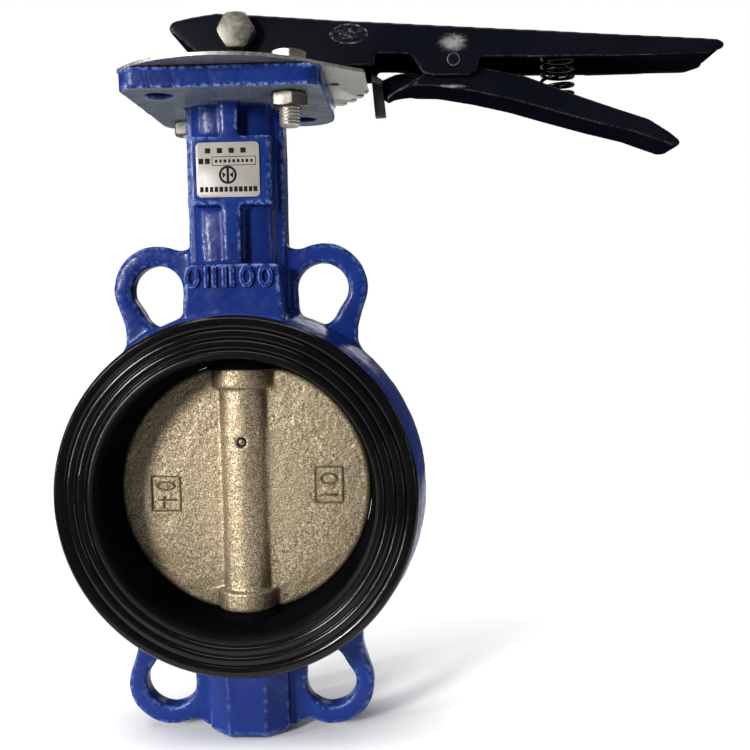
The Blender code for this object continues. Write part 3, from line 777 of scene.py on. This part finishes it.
def band(bm, outer, inner, low, high):
    """Add a closed band between two outlines with the same number of points."""
    rows = []
    for line, depth in ((outer, high), (outer, low), (inner, low), (inner, high)):
        rows.append([bm.verts.new((x * MM, depth * MM, z * MM)) for x, z in line])
    for index, here in enumerate(rows):
        wrap(bm, here, rows[(index + 1) % len(rows)])


def oval(x, z, half_x, half_z, count=28):
    """Points round an ellipse centred at (x, z)."""
    return [(x + half_x * math.cos(FULL_TURN * k / count),
             z + half_z * math.sin(FULL_TURN * k / count)) for k in range(count)]


def panel(x, z, half_x, half_z, corner=0.0, count=5):
    """A rectangle with rounded corners, centred at (x, z)."""
    if corner <= 0:
        return [(x - half_x, z - half_z), (x + half_x, z - half_z), (x + half_x, z + half_z),
                (x - half_x, z + half_z)]
    points = []
    for quarter, (sx, sz) in enumerate(((1, 1), (-1, 1), (-1, -1), (1, -1))):
        for i in range(count):
            a = math.radians(90 * quarter + 90 * i / (count - 1))
            points.append((x + sx * (half_x - corner) + corner * math.cos(a),
                           z + sz * (half_z - corner) + corner * math.sin(a)))
    return points


# ---------------------------------------------------------------- pieces

def build_body(look):
    """The casting: rounded and slightly uneven, as sand castings are under their paint."""
    ear_side, ear_low, ear_high, ear_half = 21, 66, 110, 6.5
    seat_fit, stem_fit = 63.5, 13
    made = cad_copy("valve_body", "casting")
    remeshed(made, 0.8)
    relaxed(made, 3)
    x, y, z = (np.abs(read_points(made)) / MM).T
    ears = ((x > ear_side) & (z > ear_low) & (z < ear_high) & (y < ear_half)).astype(float)
    relaxed(made, 14, ears)
    free = np.where((np.hypot(x, z) < seat_fit) | (np.hypot(x, y) < stem_fit), 0.0, 1.0)
    roughened(made, 9.0, 0.26, 1, free)
    roughened(made, 3.0, 0.08, 2, free)
    keep_inside(made, "valve_body")
    made.data.shade_smooth()
    return ride(made, "casing", look, "blue_enamel", "valve_body")


def build_size_mark(look):
    """Raised plain marks on the shoulder, standing in for the casting's own lettering."""
    bm = bmesh.new()
    level = SHOULDER_MARK_LEVEL
    near, far = SHOULDER_FACE - SHOULDER_MARK_RELIEF, SHOULDER_FACE + 1.2
    for x in sorted(SHOULDER_OVALS + SHOULDER_BARS):
        if x in SHOULDER_OVALS:
            band(bm, oval(x, level, 3.0, 4.4), oval(x, level, 1.2, 2.5), near, far)
        else:
            for side in (-1.5, 1.5):
                slab(bm, panel(x + side, level, 0.95, 4.3, 0.5), near, far, 0.35)
    made = from_bmesh("shoulder_marks", bm)
    remeshed(made, 0.3)
    relaxed(made, 3)
    made.data.shade_smooth()
    return ride(made, "casing", look, "blue_enamel")


def seat_face(radius):
    """How far the seat's face stands out at a radius, in millimetres from the bore's centre."""
    for inner, outer in zip(SEAT_GROOVES, SEAT_GROOVES[1:]):
        if inner <= radius <= outer:
            t = abs(2 * (radius - inner) / (outer - inner) - 1)
            return SEAT_CREST - SEAT_GROOVE_DEPTH * t ** 3.2
    return SEAT_CREST - SEAT_GROOVE_DEPTH


def build_seat(look):
    """The rubber seat: smooth bore, ridged lips on both faces, pads round the stem."""
    half = [(52.5, 0.0), (52.5, 4.5), (52.65, 7.0), (52.8, 11.0), (53.15, 14.5), (53.7, 18.0),
            (54.35, 21.5), (54.9, 24.3), (55.15, 25.6), (55.5, 26.5)]
    radius, lip_end = SEAT_RIDGES
    while radius < lip_end:
        half.append((radius, seat_face(radius)))
        radius += SEAT_STEP
    half += [(70.9, 27.35), (71.25, 27.05), (71.5, 26.7), (71.65, 26.3), (71.7, 25.8),
             (71.6, 25.62), (66.0, 25.6), (61.0, 25.6)]
    made = lathe("rubber_seat", half + mirrored(half[1:]), 256)
    centre = (0, 0, 0)
    hole = stacked("hole", round_rings([(STEM_HOLE, -80), (STEM_HOLE, 80)]), "z", centre)
    upper = [(15.2, 50.3), (15.7, 50.8), (15.7, 54.6)]
    pads = [stacked("pad", round_rings(rings), "z", centre)
            for rings in (upper, mirrored(upper))]
    for pad in pads:
        boolean(made, pad, "UNION")
    boolean(made, hole)
    made.data.shade_smooth()
    made.data.set_sharp_from_angle(angle=math.radians(60))
    return ride(made, "casing", look, "black_rubber", "seat_liner")


def build_disc(look):
    """The disc, with the soft corners and grainy skin of a plated casting."""
    made = cad_copy("disc", "disc_casting")
    remeshed(made, 0.55)
    x, _, z = (np.abs(read_points(made)) / MM).T
    from_middle = np.hypot(x, z)
    relaxed(made, 5, np.where(from_middle < 50.0, 1.0, 0.25))
    free = np.where(from_middle < 50.5, 1.0, 0.1)
    roughened(made, 5.0, 0.14, 3, free)
    roughened(made, 1.6, 0.13, 4, free)
    made.data.shade_smooth()
    return ride(made, "turning_group", look, "nickel_cast", "disc")


def build_disc_marks(look):
    """Raised frames on the disc's face, each with plain shapes inside."""
    near, far = DISC_FACE, DISC_FACE + DISC_MARK_RELIEF
    bm = bmesh.new()
    x, z = LEFT_FRAME
    band(bm, panel(x, z, 6.3, 7.5, 0.6), panel(x, z, 5.75, 6.95, 0.3), near, far)
    band(bm, oval(x, z + 3.2, 3.9, 2.0, 24), oval(x, z + 3.2, 3.2, 1.35, 24), near, far)
    slab(bm, panel(x + 0.4, z - 2.6, 3.9, 0.35), near, far, 0.12)
    slab(bm, panel(x - 1.0, z - 3.6, 0.35, 2.6), near, far, 0.12)
    left = from_bmesh("frame_left", bm)
    bm = bmesh.new()
    x, z = RIGHT_FRAME
    band(bm, panel(x, z, 5.9, 7.7, 0.6), panel(x, z, 5.35, 7.15, 0.3), near, far)
    band(bm, oval(x, z + 2.6, 3.6, 2.4, 24), oval(x, z + 2.6, 2.9, 1.75, 24), near, far)
    slab(bm, panel(x, z - 4.2, 3.5, 0.38), near, far, 0.12)
    right = from_bmesh("frame_right", bm)
    return ride(joined("disc_marks", [left, right]), "turning_group", look, "nickel_cast")


def reach(node, axis):
    """How far a CAD node reaches along an axis, in millimetres."""
    low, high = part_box(node)
    return low[axis] / MM, high[axis] / MM


def build_pin(look):
    """The end of the disc's pin, a little short of its hole's mouth, with rounded rims."""
    low, high = reach("disc_pin", 1)
    rings = [(0.9, low), (1.25, low + 0.2), (1.4, low + 0.6), (1.4, high - 0.6),
             (1.25, high - 0.2), (0.9, high)]
    made = stacked("hub_pin", round_rings(rings), "y", PIN_CENTRE)
    made.data.shade_smooth()
    made.data.set_sharp_from_angle(angle=math.radians(50))
    return ride(made, "turning_group", look, "pin_steel", "disc_pin")


def build_plate(look):
    """The notched plate, its sheared edges a little rounded."""
    made = softened(cad_copy("notch_plate", "notched_plate"), 0.28)
    return ride(made, "casing", look, "zinc_plate", "notch_plate")


def build_fasteners(zinc, dull, steel):
    """Bolts and nuts with chamfered hexagons and real threads, and the pivot's rivet."""
    for side, sign in (("front", -1), ("rear", 1)):
        at = (-sign * BOLT_OFFSET, sign * BOLT_OFFSET, 0)
        tip, top = reach("plate_bolt_" + side, 2)
        under = top - HEAD_HEIGHT
        head = hex_piece("head", "z", at, under, top, HEAD_TURN, False, True)
        shank = threaded("shank", "z", at, tip, under + 0.3, True)
        bolt = joined("hex_bolt_" + side, [head, shank])
        ride(bolt, "casing", zinc, "zinc_fastener", "plate_bolt_" + side)
        low, high = reach("plate_nut_" + side, 2)
        nut = hex_piece("nut", "z", at, low, high, HEX_TURNS[side], True, True, NUT_HOLE)
        nut = joined("hex_nut_" + side, [nut])
        # The plate's nuts take the darker, rougher zinc copy: painted shade.
        ride(nut, "casing", dull, "zinc_fastener", "plate_nut_" + side)
    top, tip = reach("clamp_bolt", 1)
    under = top + HEAD_HEIGHT
    head = hex_piece("head", "y", CLAMP_BOLT, top, under, 0, True, False,
                     corner=CLAMP_CORNER)
    shank = threaded("shank", "y", CLAMP_BOLT, under - 0.3, tip, False)
    bolt = joined("lever_bolt", [head, shank])
    ride(bolt, "turning_group", zinc, "zinc_fastener", "clamp_bolt")
    low, high = reach("clamp_nut", 1)
    nut = hex_piece("nut", "y", CLAMP_BOLT, low, high, 0, True, True, NUT_HOLE)
    nut = joined("lever_nut", [nut])
    ride(nut, "turning_group", zinc, "zinc_fastener", "clamp_nut")
    far_end = [(2.45, 15.3), (2.45, 15.45), (2.1, 15.6), (1.5, 15.68), (0.4, 15.7)]
    rod = [(1.9, -15.5), (1.9, 15.5)]
    parts = [stacked("rivet", round_rings(rings), "y", PIVOT)
             for rings in (mirrored(far_end), far_end, rod)]
    ride(joined("pivot_rivet", parts), "turning_group", steel, "rivet_steel", "pivot_pin")


def build_lever(look):
    """The hand lever: pressed sheet with soft bends."""
    made = cad_copy("lever_handle", "hand_lever")
    remeshed(made, 0.6)
    relaxed(made, 5)
    x, y, z = (read_points(made) / MM).T
    side, top_slope = 11.5, 0.072
    bends = (np.abs(y) > side) & (z > 170.5 - (x - 130) * top_slope)
    relaxed(made, 10, bends.astype(float))
    roughened(made, 24.0, 0.12, 5)
    made.data.shade_smooth()
    return ride(made, "turning_group", look, "black_gloss", "lever_handle")


def build_trigger(look):
    """The trigger: a pressed channel, drawn in towards the latch."""
    made = cad_copy("trigger", "squeeze_trigger")
    remeshed(made, 0.6)
    relaxed(made, 5)
    roughened(made, 20.0, 0.10, 6)
    made.data.shade_smooth()
    return ride(made, "latch", look, "black_gloss", "trigger")


def build_pawl(look):
    """The flat pawl at the trigger's end."""
    made = softened(cad_copy("pawl", "latch_pawl"), 0.35)
    return ride(made, "latch", look, "pawl_steel", "pawl")


def build_spring(look):
    """The trigger's coil spring, an even coil of round wire."""
    steps, sides = 40, 14
    low, high = SPRING_ENDS
    centre = SPRING_CENTRE
    count = int(SPRING_TURNS * steps)
    path = []
    for i in range(count + 1):
        t = i / count
        a = FULL_TURN * SPRING_TURNS * t
        path.append(Vector((centre + SPRING_RADIUS * math.cos(a), SPRING_RADIUS * math.sin(a),
                            low + (high - low) * t)))
    bm = bmesh.new()
    rings = []
    for i, point in enumerate(path):
        ahead = (path[min(i + 1, count)] - path[max(i - 1, 0)]).normalized()
        out = Vector((point.x - centre, point.y, 0)).normalized()
        over = ahead.cross(out).normalized()
        ring = []
        for k in range(sides):
            a = FULL_TURN * k / sides
            place = point + (out * math.cos(a) + over * math.sin(a)) * SPRING_WIRE
            ring.append(bm.verts.new(place * MM))
        rings.append(ring)
    for here, after in zip(rings, rings[1:]):
        wrap(bm, here, after)
    cap(bm, rings)
    made = from_bmesh("coil_spring", bm)
    made.data.shade_smooth()
    ride(made, "turning_group", look, "spring_steel", "trigger_spring")
    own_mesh(made)


def build_label(film, ink):
    """The rating label: a rounded plate with plain bars and a generic valve sign."""
    bm = bmesh.new()
    slab(bm, panel(*LABEL_CENTRE, 12.35, 10.5, 1.7, 7), *LABEL_FACES, 0.12)
    plate = from_bmesh("rating_label", bm)
    plate.data.shade_smooth()
    plate.data.set_sharp_from_angle(angle=math.radians(50))
    ride(plate, "casing", film, "label_film", "name_label")
    bm = bmesh.new()
    top_row, frame_row, foot_row = 135.2, 131.2, 120.4
    spots = [(x, top_row, 1.05, 1.0) for x in (-8.2, -3.6, 1.0, 5.6)]
    spots += [(x, frame_row, 0.95, 1.05) for x in (-10.9, -8.4)]
    for k in range(9):
        spots.append((-5.0 + 1.72 * k, frame_row, 0.42 + 0.22 * random.random(), 0.62))
    for k in range(12):
        spots.append((-10.9 + 1.9 * k, foot_row, 0.62 + 0.14 * random.random(), 1.0))
    for x, z, half_x, half_z in spots:
        slab(bm, panel(x, z, half_x, half_z, 0.18, 3), *PRINT_FACES, 0.01)
    band(bm, panel(1.9, frame_row, 8.6, 1.75, 0.2, 3), panel(1.9, frame_row, 8.35, 1.5, 0.1, 3),
         *PRINT_FACES)
    x, z = SIGN_CENTRE
    band(bm, oval(x, z, 3.5, 3.5, 36), oval(x, z, 2.6, 2.6, 36), *PRINT_FACES)
    slab(bm, panel(x, z, 0.5, 2.7), *PRINT_FACES, 0.01)
    for side in (-1, 1):
        wing = [(x + side * 0.7, z), (x + side * 2.1, z + 1.3), (x + side * 2.1, z - 1.3)]
        slab(bm, wing if side < 0 else list(reversed(wing)), *PRINT_FACES, 0.01)
    print_marks = from_bmesh("label_print", bm)
    ride(print_marks, "casing", ink, "label_film")


def dress(node, look):
    """Give a carried-over CAD node its material."""
    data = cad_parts[node].data
    data.materials.clear()
    data.materials.append(look)


# ---------------------------------------------------------------- room

FLOOR_CENTRE = (0.06, 0.22, -0.1034)
FLOOR_RADIUS = 0.45
WORLD_TINT = (0.93, 0.95, 1.0, 1.0)
WORLD_LIGHT = 0.10
SUN_POWER = 3.3
SUN_SPREAD = 50                # degrees
SUN_TILT = (6, -4)             # degrees about X and Y
LAMP_AIM = (0, 0, 0.03)
WARM = (1.0, 0.985, 0.96)
WHITE = (1, 1, 1)
# Each lamp's name, place in metres, width, height, power and tint.
LAMPS = (
    ("key_panel", (-0.80, -1.18, 0.38), 0.26, 0.30, 25.5, WARM),
    ("left_strip", (-0.80, -0.50, 0.12), 0.010, 0.42, 5.5, WHITE),
    ("right_strip", (0.92, -0.50, 0.00), 0.006, 0.40, 1.3, WHITE),
    ("rear_panel", (0.3, 1.2, 0.6), 0.5, 0.4, 1.5, WHITE),
    ("edge_strip", (0.88, 0.14, 0.30), 0.010, 0.40, 0.8, WHITE),
)


def build_room():
    """A plain pale floor in a room that is white behind the object and gives it little light."""
    bm = bmesh.new()
    bmesh.ops.create_circle(bm, cap_ends=True, segments=96, radius=FLOOR_RADIUS)
    bmesh.ops.translate(bm, vec=FLOOR_CENTRE, verts=bm.verts)
    floor = from_bmesh("floor", bm)
    floor.data.materials.append(floor_paint())
    world = bpy.data.worlds.new("studio")
    bpy.context.scene.world = world
    world.use_nodes = True
    nodes, links = world.node_tree.nodes, world.node_tree.links
    nodes["Background"].inputs["Color"].default_value = WORLD_TINT
    nodes["Background"].inputs["Strength"].default_value = WORLD_LIGHT
    bright = nodes.new("ShaderNodeBackground")
    bright.inputs["Color"].default_value = (1.0, 1.0, 1.0, 1.0)
    bright.inputs["Strength"].default_value = 1.0
    kind = nodes.new("ShaderNodeLightPath")
    pick = nodes.new("ShaderNodeMixShader")
    links.new(kind.outputs["Is Camera Ray"], pick.inputs[0])
    links.new(nodes["Background"].outputs[0], pick.inputs[1])
    links.new(bright.outputs[0], pick.inputs[2])
    links.new(pick.outputs[0], nodes["World Output"].inputs["Surface"])


def lamp(name, place, width, height, power, tint):
    """A soft rectangular lamp, aimed at the valve."""
    data = bpy.data.lights.new(name, "AREA")
    data.shape = "RECTANGLE"
    data.size = width
    data.size_y = height
    data.energy = power
    data.color = tint
    made = bpy.data.objects.new(name, data)
    made.location = place
    made.rotation_euler = (Vector(LAMP_AIM) - Vector(place)).to_track_quat("-Z", "Y").to_euler()
    bpy.context.scene.collection.objects.link(made)


def light_room():
    """Wide light from above, a key panel at the left and thin strips for the edges."""
    sun = bpy.data.lights.new("sky_panel", "SUN")
    sun.energy = SUN_POWER
    sun.angle = math.radians(SUN_SPREAD)
    made = bpy.data.objects.new("sky_panel", sun)
    made.rotation_euler = (*(math.radians(a) for a in SUN_TILT), 0)
    bpy.context.scene.collection.objects.link(made)
    for spec in LAMPS:
        lamp(*spec)


# ---------------------------------------------------------------- assembly

make_camera()
build_room()
light_room()

ENAMEL = blue_enamel()
NICKEL = nickel_cast()
# The shank colour paints a reflection on the plate bolts' threads.
ZINC = metal("zinc_fastener", (0.080, 0.075, 0.061), (0.19, 0.18, 0.155), 0.42, 4.0,
             shank=(0.50, 0.485, 0.43))
# A darker, rougher copy of the zinc for the plate's nuts: the darkening is painted shade.
DULL_SHADED_ZINC = metal("zinc_nuts", (0.050, 0.047, 0.040), (0.11, 0.105, 0.092), 0.48, 4.0)
RIVET = gloss_paint("rivet_steel", [])
LEVER_SCARS = [("arcs", 47.1, -15, 179.0, 7.6, 3.9), ("rub", 87.0, -15, 174.6, 10.5, 6.5)]
TRIGGER_SCARS = [("rub", 85.5, -11.8, 158.9, 13.0, 1.5)]
LEVER_PAINT = gloss_paint("black_gloss", LEVER_SCARS)
TRIGGER_PAINT = gloss_paint("black_gloss_trigger", TRIGGER_SCARS)

build_body(ENAMEL)
build_size_mark(ENAMEL)
build_seat(black_rubber())
build_disc(NICKEL)
# The disc's raised marks take a darker copy of the casting: painted shade.
build_disc_marks(nickel_cast("nickel_marks_painted_shade", 0.35))
build_pin(metal("pin_steel", (0.10, 0.085, 0.06), (0.24, 0.21, 0.16), 0.5, 1.2))
build_plate(metal("zinc_plate", (0.15, 0.15, 0.135), (0.40, 0.395, 0.362), 0.5, 1.6, 0.5))
build_fasteners(ZINC, DULL_SHADED_ZINC, RIVET)
build_lever(LEVER_PAINT)
build_trigger(TRIGGER_PAINT)
build_pawl(metal("pawl_steel", (0.018, 0.0185, 0.0165), (0.035, 0.036, 0.032), 0.5, 5.0, 0.25,
                 metallic=0.7))
build_spring(metal("spring_steel", (0.008, 0.008, 0.009), (0.024, 0.024, 0.026), 0.25, 3.0, 0.3))
build_label(label_film(), label_ink())

dress("stem", metal("stem_steel", (0.20, 0.20, 0.20), (0.36, 0.36, 0.36), 0.35, 8.0))
dress("lever_hub", metal("hub_steel", (0.05, 0.05, 0.05), (0.11, 0.11, 0.11), 0.5, 5.0))
BRONZE = metal("bushing_bronze", (0.30, 0.17, 0.06), (0.55, 0.36, 0.15), 0.36, 4.0)
for sleeve in ("bushing_upper", "bushing_middle", "bushing_lower"):
    dress(sleeve, BRONZE)
SEAL = black_rubber()
for seal in ("stem_seal_upper", "stem_seal_middle"):
    dress(seal, SEAL)

bpy.context.scene.view_settings.view_transform = "Standard"
